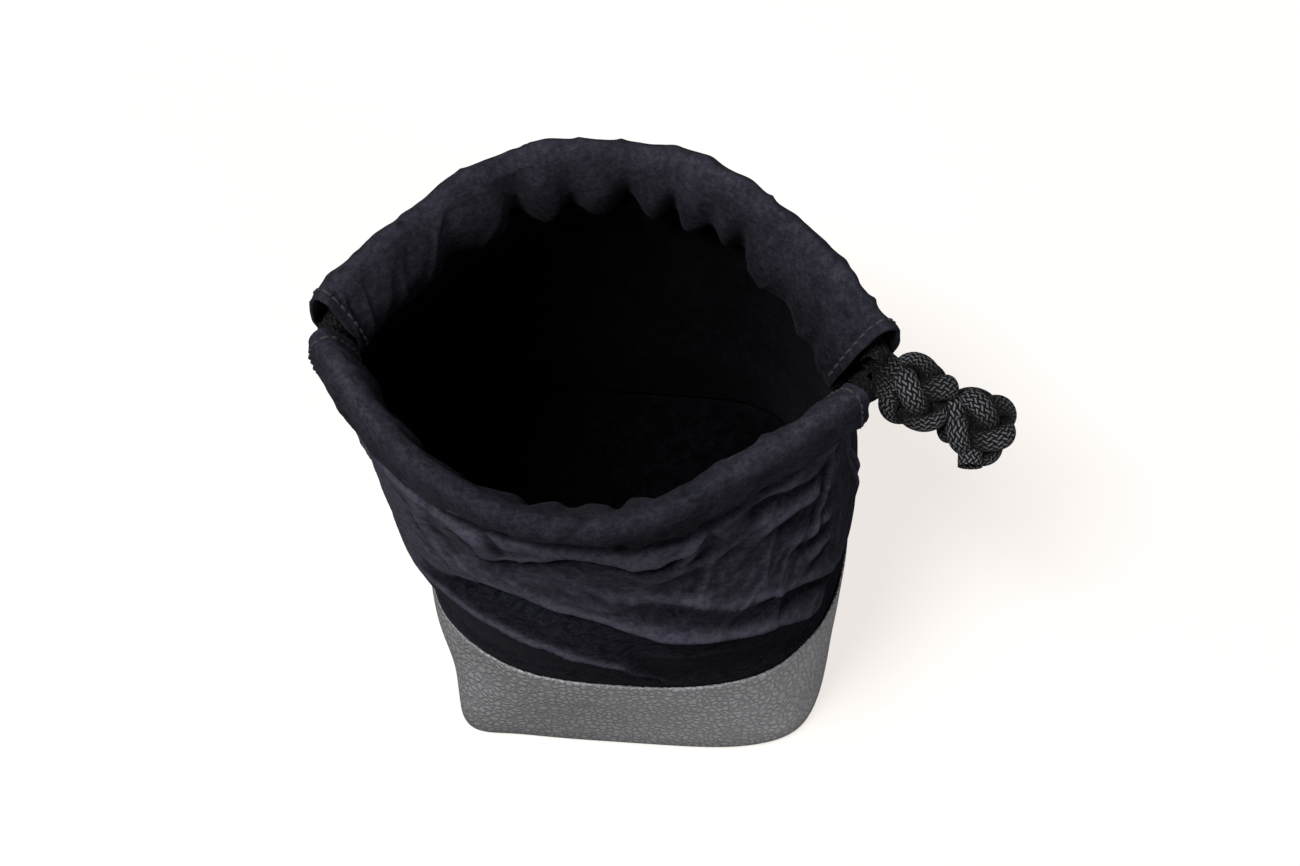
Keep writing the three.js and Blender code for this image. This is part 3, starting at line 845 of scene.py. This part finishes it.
# The stitched feet of the hems wave: (share from the middle to a side seam, millimetres up)
FRONT_FOOT_WAVE = (
    (-1.0, 0.0), (-0.6, 0.3), (-0.4, -0.5), (-0.2, 0.3), (0.0, 0.8), (0.2, 0.4), (0.34, 1.4),
    (0.5, 1.6), (0.7, 1.0), (1.0, 0.6),
)
BACK_FOOT_WAVE = ((-1.0, 0.0), (-0.6, -0.8), (-0.2, 1.0), (0.2, -0.6), (0.6, 0.8), (1.0, 0.0))


def foot_wave(along, front):
    wave = np.array(FRONT_FOOT_WAVE if front else BACK_FOOT_WAVE)
    return smooth_line(along, wave[:, 0], wave[:, 1])


def panel_points(front):
    """The cloth between the leather and the hem, as a grid of points, and its nap with painted light."""
    angles, along, z, up = side_grid(front, COLUMNS, np.linspace(PANEL_FOOT, PANEL_TOP, ROWS))
    x, y, normals, shift = plain_cloth(angles, z, along, up)
    half_length = run_along(np.stack([x[:, ROWS // 2], y[:, ROWS // 2]], axis=-1))[-1] / 2
    lips = placed_lips(front)
    out, drop, shade, light = lip_offsets(along, up, lips)
    out = out + crease_offsets(along, up, placed_creases(front), half_length)
    taut = smooth_line(along, *np.array(taut_line(front, lips)).T)
    busy = mix(0.12, 1.0, smoothstep(-0.04, 0.05, up - taut))
    calm = 0.7 - 0.3 * smoothstep(0.45, 0.8, np.abs(along))
    out = out + busy * calm * crumple(along, up, 11 if front else 47, half_length)
    loose = smoothstep(0.0, 0.1 + 0.25 * np.abs(along) ** 5, up) * fading(0.98, 1.0, up)
    edge = 1 - np.abs(along)
    sides = smoothstep(0.0, 0.1, edge)
    seam = 0.5 * bell((edge - 0.012) / 0.008)
    neck = NECK_INSET * smoothstep(0.98, 1.0, up)
    gather = hem_gather(x, along, front) * smoothstep(0.92, 1.0, up) * 0.3
    out = out * loose * sides + shift + seam * loose - neck + gather
    lift = foot_wave(along, front) * smoothstep(0.7, 1.0, up) - drop * loose * sides
    steps = (2 * half_length / COLUMNS, (FOOT_Z - PANEL_FOOT) / ROWS)
    # Nap and painted light: painted highlight on crests and along the lips, painted shade in creases and
    # below the lips, painted light on the front's left side, darker on the taut band below the main fold,
    # lighter along the side seams.
    crests = crest_painted_light(out - shift, *steps, 2.4) * 1.1 + crest_painted_light(out - shift, *steps, 6.5) * 0.45
    nap_and_painted_light = 0.4 * busy * (1 - 0.8 * shade) + 0.32 * light
    if front:
        nap_and_painted_light = nap_and_painted_light * (1 + 2.0 * bell((along + 0.64) / 0.2))
    nap_and_painted_light = np.clip(nap_and_painted_light * (1 + 2.1 * np.clip(crests, -0.42, 1.2)) + 0.25 * seam, 0.0, 1)
    return pushed(x, y, normals, out, z + lift), nap_and_painted_light


# Hems

HEM_COLUMNS = 420
# How far the left and right ends of the front and back hem stay off the line between the side seams
HEM_SLITS = {True: (0.9, 6.2), False: (0.9, 2.6)}
# A hem's section: (out from its middle, share of its height), up the outside and down the inside
HEM_SECTION = (
    (1.9, 0.0), (2.7, 0.02), (3.05, 0.08), (3.2, 0.3), (3.15, 0.52), (3.0, 0.72), (2.6, 0.87),
    (1.9, 0.96), (1.0, 1.0), (0.0, 0.985), (-1.0, 0.93), (-1.8, 0.82), (-2.5, 0.64), (-2.9, 0.44),
    (-2.5, 0.24), (-1.5, 0.08), (-0.3, 0.0),
)
# Pleats of the hems: (millimetres across the mouth, how deep, half width)
BACK_PLEATS = (
    (-31.0, 1.2, 2.0), (-20.6, 3.2, 2.1), (-12.0, 2.6, 2.3), (-2.5, 3.2, 2.6), (5.5, 2.4, 1.7),
    (12.6, 1.8, 1.9), (18.0, 2.4, 1.7), (27.0, 1.2, 2.6), (34.0, 0.9, 1.8),
)
FRONT_PLEATS = (
    (-38.0, 1.0, 2.2), (-30.5, 1.4, 1.8), (-23.0, 1.0, 2.4), (-15.0, 1.3, 1.8), (-7.5, 1.0, 2.2),
    (1.0, 1.3, 1.6), (8.5, 0.8, 2.4), (15.0, 1.1, 2.0), (24.0, 0.9, 2.6), (32.0, 1.0, 1.8),
)


def hem_gather(x, along, front):
    """How far the pleats of a hem drawn up on its cord stand in from its face; below zero between them."""
    depth = np.zeros(np.broadcast(x, along).shape)
    for place, size, width in FRONT_PLEATS if front else BACK_PLEATS:
        depth = depth - size * bell((x - place) / width) * 1.25
    return depth + (0.45 if front else 0.9) + 0.25 * noise(along * 9, along * 0, 3 if front else 8)


def hem_angles(front):
    """Angles of a hem's columns, from one slit between the hems to the other."""
    angles = even_angles(4001, TOP_Z, *half_turn(front))
    x, y = outline_xy(np.full_like(angles, TOP_Z), angles, HEM_THICKNESS / 2)
    keep = np.abs(y) > np.where(x < 0, *HEM_SLITS[front])
    return np.interp(np.linspace(0, 1, HEM_COLUMNS), np.linspace(0, 1, keep.sum()), angles[keep])


def hem_points(front):
    """The drawn hem: an upright flattened roll of cloth, open at both ends."""
    start, end = half_turn(front)
    angles = hem_angles(front)[:, None]
    along = (angles - (start + end) / 2) / ((end - start) / 2)
    out, share = section_curve(HEM_SECTION, 48).T[:, None, :]
    z = FOOT_Z + share * HEM_HEIGHT + 0 * angles
    x, y = outline_xy(z, angles, HEM_THICKNESS / 2)
    inner = smoothstep(0.6, -0.8, out)
    foot = smoothstep(1.05, 0.1, share)
    gather = hem_gather(x, along, front)
    pull = 0.2 if front else 1.4 + 1.4 * smoothstep(8, 30, x)
    swell = 0.45 * gather * foot * (1 - inner) - (gather + pull) * foot * inner
    slack = (0.15 + 0.35 * noise(along * 7, share * 2.2 + 3, 21)) * np.sin(np.pi * share) * (1 - inner)
    rough = 0.4 * noise(along * 13 + share * 2, share * 2.5 + inner * 7, 17)
    rough = rough + 0.16 * noise(along * 36, share * 5 + inner * 3, 19)
    rough = rough + 0.5 * (ridged(along * 11 + share * 1.5, share * 1.6 + inner * 5, 18) ** 4 - 0.2)
    rough = rough * np.where(inner > 0.5, -1, 1)
    lean = (0.3 if front else 0.4) * share
    out = out + swell + slack + rough + lean + mouth_shift(angles, z)
    seed = 23 if front else 24
    bob = 0.8 * noise(along * 6.5, along * 0, seed) + 0.5 * noise(along * 17, along * 0, seed + 2)
    wave = foot_wave(along, front) * np.clip(1 - share, 0, 1) ** 1.5
    lift = bob * smoothstep(0.5, 1.0, share) + wave
    return pushed(x, y, outward(x, y), out, z + lift), angles, along


def hem_nap_and_painted_light(points, along, front):
    """The hem's nap and painted light: an uneven nap, the back hem lighter than the front as painted light,
    a painted highlight along its top, painted light on the front's ends and painted shade low inside the
    back hem.
    """
    column, row = np.ogrid[:points.shape[0], :points.shape[1]]
    share = row / (points.shape[1] - 1)
    nap_and_painted_light = (0.17 if front else 0.31) + 0.05 * noise(column / 9, row / 4, 91)
    nap_and_painted_light = nap_and_painted_light + 0.04 * noise(column / 2.5, row / 1.5, 92) + 0.12 * bell((share - 0.5) / 0.07)
    if front:
        return nap_and_painted_light + 0.16 * smoothstep(0.15, 0.5, np.abs(along))
    return nap_and_painted_light * (1 - 0.8 * smoothstep(0.62, 0.88, share))


def smooth_curve(points, count):
    """A smooth line through points, finely divided."""
    fine = np.linspace(0, len(points) - 1, count)
    return np.stack([catmull(column, fine) for column in np.array(points, float).T], axis=-1)


def section_curve(points, count):
    """A smooth line through a section's points, evenly spaced."""
    curve = smooth_curve(points, 400)
    run = run_along(curve * (1, HEM_HEIGHT))
    return at_run(np.linspace(0, run[-1], count), run, curve)


def catmull(values, at):
    """A smooth curve through values at 0, 1, 2 and so on."""
    padded = np.concatenate([[2 * values[0] - values[1]], values, [2 * values[-1] - values[-2]]])
    index = np.clip(np.floor(at).astype(int), 0, len(values) - 2)
    t = at - index
    p0, p1, p2, p3 = [padded[index + k] for k in range(4)]
    straight = 2 * p1 + (p2 - p0) * t
    bend = (2 * p0 - 5 * p1 + 4 * p2 - p3) * t * t + (3 * p1 - p0 - 3 * p2 + p3) * t ** 3
    return 0.5 * (straight + bend)


# Lining

def lining_points(front):
    """The fleece inside the leather's padding and the cloth, up to the hem."""
    angles, along, z, up = side_grid(front, 200, np.linspace(FLOOR_HIGH + 0.2, FOOT_Z + 0.5, 90))
    inset = mix(4.9, 2.1, smoothstep(PAD_HIGH - 2, SEAM_Z + 8, z)) + 1.6 * smoothstep(FOOT_Z - 5, FOOT_Z, z)
    x, y = outline_xy(z, angles, inset)
    loose = smoothstep(0.02, 0.3, up) * fading(0.9, 1.0, up) * smoothstep(0, 0.12, 1 - np.abs(along))
    folds = -1.5 * loose * (0.5 + 0.5 * noise(along * 5, up * 2.4, 61 if front else 67))
    pleats = -hem_gather(x, along, front) * 0.4 * smoothstep(0.7, 1.0, up)
    pile = 0.14 * noise(along * 70, z / 0.9, 71)
    out = folds + np.minimum(pleats, 0.4) + pile + mouth_shift(angles, z)
    lift = foot_wave(along, front) * smoothstep(0.7, 1.0, up)
    return pushed(x, y, outward(x, y), out, z + lift)


# Cords

def cord_tube(name, path, radius, material, flatten=None, sides=20):
    """A tube along path, mapped in cord diameters along it and once around; a flattened one is closed."""
    closed = flatten is not None
    if closed:
        tangent = unit(np.roll(path, -1, axis=0) - np.roll(path, 1, axis=0))
    else:
        tangent = unit(np.gradient(path, axis=0))
    up = flatten if closed else carried_normals(tangent)
    up = unit(up - (up * tangent).sum(1)[:, None] * tangent)
    side = np.cross(tangent, up)
    across, thick = np.broadcast_to(radius, 2)
    angle = full_turn(sides)[:, None]
    ring = side[:, None] * (across * np.cos(angle)) + up[:, None] * (thick * np.sin(angle))
    run = run_along(np.concatenate([path, path[:1]])) / CORD_DIAMETER
    around = np.arange(sides + 1) / sides
    points = path[:, None] + ring
    return grid_object(name, points, material, wrap_columns=closed, wrap_rows=True, uv=(run, around))


def carried_normals(tangent):
    """A normal carried along a path without twist."""
    normal = np.cross(tangent[0], (0.3, 0.2, 1.0))
    found = []
    for t in tangent:
        normal = unit(normal - normal.dot(t) * t)
        found.append(normal)
    return np.array(found)


def resample(points, step):
    """A smooth path through points, with even steps."""
    curve = smooth_curve(points, 60 * len(points))
    run = run_along(curve)
    return at_run(np.linspace(0, run[-1], max(int(run[-1] / step), 4)), run, curve)


def middle_mm(node):
    low, high = box_mm(node)
    return np.array((low + high) / 2)


# The way that the tails and knots take out of the mouth; the far knot is drawn nearer than its solid
KNOT_NEAR = middle_mm("knot_near")
KNOT_FAR = middle_mm("knot_far")
TAIL_WAY = unit(KNOT_FAR - KNOT_NEAR)
KNOT_FAR = KNOT_FAR - 1.2 * TAIL_WAY
TAIL_ACROSS = unit(np.array([-TAIL_WAY[1], TAIL_WAY[0], 0.0]))
TAIL_UP = np.cross(TAIL_WAY, TAIL_ACROSS)
# Where the tails leave the hems' ends behind, and where they end
TAIL_EXIT = KNOT_NEAR - TAIL_WAY * 9.0
TAIL_STUB = (KNOT_FAR - TAIL_ACROSS * 4.6 + TAIL_WAY * 0.4, KNOT_FAR - TAIL_ACROSS * 7.0 + TAIL_WAY * 1.2)
# How the tails twist round each other through the knots
TAIL_TWISTS = 2
TWIST_RADIUS = 1.6
# Where the cord turns round the left side seam, and where its tails begin between the hems' ends
LEFT_TURN = np.array([-48.1, 0.0, 102.7])
FRONT_TAIL_START = np.array([37.8, -2.0, 102.3])
BACK_TAIL_START = np.array([38.8, 1.6, 102.5])
# A knot's strand: its rounds and bights, how far it is from the middle, how far it weaves in and out,
# how far up and down it swings, and its half width and half thickness
KNOT_LEADS = 3
KNOT_BIGHTS = 4
KNOT_RADIUS = 4.1
KNOT_WEAVE = 1.2
KNOT_SWING = 0.98
KNOT_STRAND = (2.05, 1.45)
# The core that closes a knot's gaps: its radius, and how far it reaches from the middle
CORE_RADIUS = 3.9
CORE_REACH = 5.2
# How dark the cord is in the hems, where little light falls
IN_HEM_DEPTH = 0.96


def knot_strand(name, centre, turn):
    """A round knot: one flattened strand weaves three times round, over and under itself."""
    t = full_turn(260)
    longitude = KNOT_LEADS * t + turn
    latitude = KNOT_SWING * np.cos(KNOT_BIGHTS * t)
    radius = KNOT_RADIUS + KNOT_WEAVE * np.sin(2 * KNOT_BIGHTS * t)
    level = np.cos(latitude)
    local = np.stack([level * np.cos(longitude), level * np.sin(longitude), np.sin(latitude)], axis=-1)
    direction = local @ np.stack([TAIL_ACROSS, TAIL_UP, TAIL_WAY])
    path = centre + direction * radius[:, None]
    return cord_tube(name, path, KNOT_STRAND, BRAID, flatten=direction, sides=24)


def knot_core(name, centre):
    """The cords inside the knot, which close its gaps: a short tube with rounded ends."""
    sides = 20
    share = np.linspace(-1, 1, 12)
    path = centre + TAIL_WAY * CORE_REACH * share[:, None]
    core = cord_tube(name, path, CORE_RADIUS, BRAID, sides=sides)
    ease = np.sqrt(np.clip(1 - share ** 4, 0.12, 1))
    middles, eases = np.repeat(path, sides, axis=0), np.repeat(ease, sides)[:, None]
    points = middles + (points_mm(core) - middles) * eases
    core.data.vertices.foreach_set("co", (points * MM).astype(np.float32).ravel())
    return core


# Paints the cord near black, as painted shade where the hems keep the light off it.
def paint_hem_shade(cord):
    set_points(cord, "depth", np.full(len(cord.data.vertices), IN_HEM_DEPTH))


# Placing

def ride_on(obj, body, node):
    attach(obj, body)
    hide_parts(node)


def hang(obj, front, slot, node, inset=0.0):
    """Bakes a piece's placing into its mesh, whose points already lean in with its half of the mouth, and
    hides the solid that it stands for.
    """
    blend_mouth(obj)
    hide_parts(node)


def blend_mouth(obj):
    """Bakes a piece's placing into its mesh; the cloth's lean in from the leather's top and the side seams,
    most at the middle of the mouth, is already in its points.
    """
    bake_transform(obj)


def make_base():
    ride_on(base_wall(), "body", "leather_wall")
    ride_on(base_sole(), "body", "leather_bottom")
    for node in ("wall_pad", "base_pad"):
        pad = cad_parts[node]
        pad.data.materials.clear()
        pad.data.materials.append(FOAM)


def make_panel(front, side):
    points, nap_and_painted_light = panel_points(front)
    panel = grid_object(f"{side}_cloth", points, CLOTH)
    set_points(panel, "nap_and_painted_light", nap_and_painted_light)
    thicken(panel, CLOTH_THICKNESS)
    hang(panel, front, "cloth", f"{side}_panel")


def make_lining(front, side):
    lining = grid_object(f"{side}_fleece", lining_points(front), FLEECE)
    thicken(lining, LINING_THICKNESS)
    hang(lining, front, "fleece", f"lining_{side}", LINING_AHEAD)


def make_hem(front, side):
    points, angles, along = hem_points(front)
    hem = grid_object(f"{side}_hem", points, CLOTH, wrap_rows=True)
    set_points(hem, "nap_and_painted_light", hem_nap_and_painted_light(points, along, front))
    thicken(hem, CLOTH_THICKNESS)
    hang(hem, front, "cloth", f"{side}_casing")
    make_hem_stitches(points, front, side)
    make_cord_run(np.linspace(angles[0, 0], angles[-1, 0], 300), front, side)


def make_cord_run(angles, front, side):
    """The cord inside a hem, from the left side seam to where its tail begins."""
    first, last = (LEFT_TURN, FRONT_TAIL_START) if front else (BACK_TAIL_START, LEFT_TURN)
    path = resample([first, *hem_middle(angles)[::13], last], 0.5)
    cord = cord_tube(f"{side}_cord_run", path, CORD_DIAMETER / 2, BRAID)
    paint_hem_shade(cord)
    hang(cord, front, "braid", f"drawstring_{side}_run")


def hem_middle(angles):
    """The cord's path inside a hem."""
    z = np.full_like(angles, FOOT_Z + HEM_HEIGHT * 0.47)
    close = np.array([-0.002, 0.0, 0.002])
    x, y = outline_xy(z[:, None], angles[:, None] + close, HEM_THICKNESS / 2)
    dx, dy = x[:, 2] - x[:, 0], y[:, 2] - y[:, 0]
    shift = (mouth_shift(angles, z) + 0.2) / np.hypot(dx, dy)
    return pushed(x[:, 1], y[:, 1], (dy, -dx), shift, z)


def make_hem_stitches(points, front, side):
    """Rows across both ends of a hem."""
    for end, column in (("left", 6), ("right", HEM_COLUMNS - 7)):
        ring = points[column if front else HEM_COLUMNS - 1 - column]
        out = unit(ring - ring.mean(axis=0))
        row = stitch_row(f"{side}_hem_{end}_stitches", ring[3:-3], out[3:-3])
        blend_mouth(row)


def stitch_row(name, line, out):
    """Stitches along a line of points on cloth, each with its own outward direction."""
    length, gap, radius = 1.5, 0.75, 0.24
    run = run_along(line)
    pieces = []
    for index in range(max(int(run[-1] / (length + gap)), 1)):
        low = (index + 0.15) * (length + gap)
        at = np.linspace(low, low + length, 6)
        rise = 0.12 - 0.3 * np.linspace(-1, 1, 6)[:, None] ** 4
        points = at_run(at, run, line) + at_run(at, run, out) * rise
        pieces.append(cord_tube(name, points, radius, THREAD, sides=6))
    return join(name, pieces)


def make_bridge():
    """The cord's turn round the left side seam."""
    bend = np.array([0.25, 1.8, 0.0])
    path = resample([LEFT_TURN - bend * (-1, 1, 1), LEFT_TURN, LEFT_TURN + bend], 0.4)
    bridge = cord_tube("cord_bridge", path, CORD_DIAMETER / 2 + 0.04, BRAID)
    paint_hem_shade(bridge)
    ride_on(bridge, "body", "drawstring_bridge")


def make_knot(name, centre, turn, node):
    knot = join(name, [knot_strand(name, centre, turn), knot_core(name + "_core", centre)])
    # Painted shade: the braid is near black deep between the knot's strands.
    off = np.linalg.norm(points_mm(knot) - centre, axis=1)
    set_points(knot, "depth", 0.97 * fading(5.1, 6.6, off))
    ride_on(knot, "knots", node)
    return knot


def tail_path(front):
    """From between the hems' ends through both knots, the two tails twisted round each other."""
    sign = -1.0 if front else 1.0
    aside = TAIL_ACROSS * sign * CORD_DIAMETER / 2
    route = [FRONT_TAIL_START if front else BACK_TAIL_START]
    route += [TAIL_EXIT + aside * 1.25, KNOT_NEAR - TAIL_WAY * 5.6 + aside * 0.9]
    for share in np.linspace(0, 1, 14):
        turn = TAIL_TWISTS * 2 * np.pi * share
        away = sign * TWIST_RADIUS * (math.cos(turn) * TAIL_ACROSS + math.sin(turn) * TAIL_UP)
        route.append(mix(KNOT_NEAR - TAIL_WAY * 3.5, KNOT_FAR, share) + away)
    route += TAIL_STUB if front else (KNOT_FAR + TAIL_WAY * 3.5 + aside * 0.5,)
    return resample(route, 0.5)


def make_tail(side):
    path = tail_path(side == "front")
    tail = cord_tube(f"{side}_tail", path, CORD_DIAMETER / 2, BRAID)
    # Painted shade: the tail is near black up to where it leaves the hems' ends, and lightens over the next
    # 6 mm.
    past_exit = (points_mm(tail) - TAIL_EXIT) @ TAIL_WAY
    set_points(tail, "depth", 0.94 * fading(0.5, 6, past_exit))
    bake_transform(tail)
    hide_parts(f"tail_{side}")


def make_tails():
    """The two knots, and the two tails that run into them."""
    knots = [make_knot("near_knot", KNOT_NEAR, 0.5, "knot_near"),
             make_knot("far_knot", KNOT_FAR, 1.3, "knot_far")]
    make_tail("front")
    make_tail("back")


def make_floor_pad():
    """The fleece floor, slightly crowned, with a rounded edge."""
    rings = [(0.0, MIDDLE_INSET), (0.0, 6.0), (0.4, 5.0), (1.0, 5.2), (1.7, 8.0), (2.2, 16.0)]
    points = ring_points(160, FLOOR_LOW, rings + [(2.4, MIDDLE_INSET)])
    floor_pad = grid_object("fleece_floor", points, FLEECE, wrap_columns=True)
    ride_on(floor_pad, "body", "lining_floor")


make_base()
make_floor_pad()
for front, side in ((True, "front"), (False, "back")):
    make_panel(front, side)
    make_lining(front, side)
    make_hem(front, side)
make_bridge()
make_tails()


# Floor, light and camera

# Where the lamps point, in metres
LIGHT_AIM = (0, 0, 0.06)


def floor_material():
    """Matt grey that the camera alone sees as an evenly glowing pale floor."""
    shader = Shader("floor", 0.9)
    seen = shader.node("LightPath").outputs["Is Camera Ray"]
    glow = shader.node("Emission", {"Color": (1, 0.95, 0.91), "Strength": shader.times(seen, 0.8)})
    both = shader.node("AddShader", {0: shader.bsdf.outputs[0], 1: glow.outputs[0]})
    shader.link(both.outputs[0], shader.tree.nodes["Material Output"].inputs["Surface"])
    return shader.finish((0.13, 0.13, 0.13))


def make_floor():
    bpy.ops.mesh.primitive_plane_add(size=6, location=(0, 0, 0))
    floor = bpy.context.object
    floor.name = "floor"
    floor.data.materials.append(floor_material())


def area_light(name, place, size, power):
    """A round lamp that shines on the pouch."""
    light = bpy.data.lights.new(name, "AREA")
    light.shape = "DISK"
    light.size = size
    light.energy = power
    obj = add_to_scene(name, light)
    obj.location = place
    obj.rotation_euler = (Vector(LIGHT_AIM) - Vector(place)).to_track_quat("-Z", "Y").to_euler()


def make_lights():
    world = bpy.data.worlds.new("studio")
    bpy.context.scene.world = world
    world.use_nodes = True
    background = world.node_tree.nodes["Background"]
    background.inputs["Color"].default_value = (1, 1, 1, 1)
    background.inputs["Strength"].default_value = 0.12
    area_light("key", (-0.6, -0.35, 2.0), 0.7, 80.0)
    area_light("left_fill", (-1.7, -0.5, 0.9), 1.0, 4.5)
    area_light("front_fill", (1.6, -1.3, 0.6), 1.2, 21.0)


def make_camera():
    place, right, up, towards = view_axes()
    camera = bpy.data.cameras.new("camera")
    camera.sensor_width = 36
    camera.lens = FOCAL_PX * camera.sensor_width / PHOTO_WIDTH
    camera.clip_start = 0.01
    obj = add_to_scene("camera", camera)
    axes = Matrix((right, up, towards)).transposed().to_4x4()
    obj.matrix_world = Matrix.Translation(place * MM) @ axes
    bpy.context.scene.camera = obj


make_floor()
make_lights()
make_camera()
bpy.context.scene.view_settings.view_transform = "Standard"
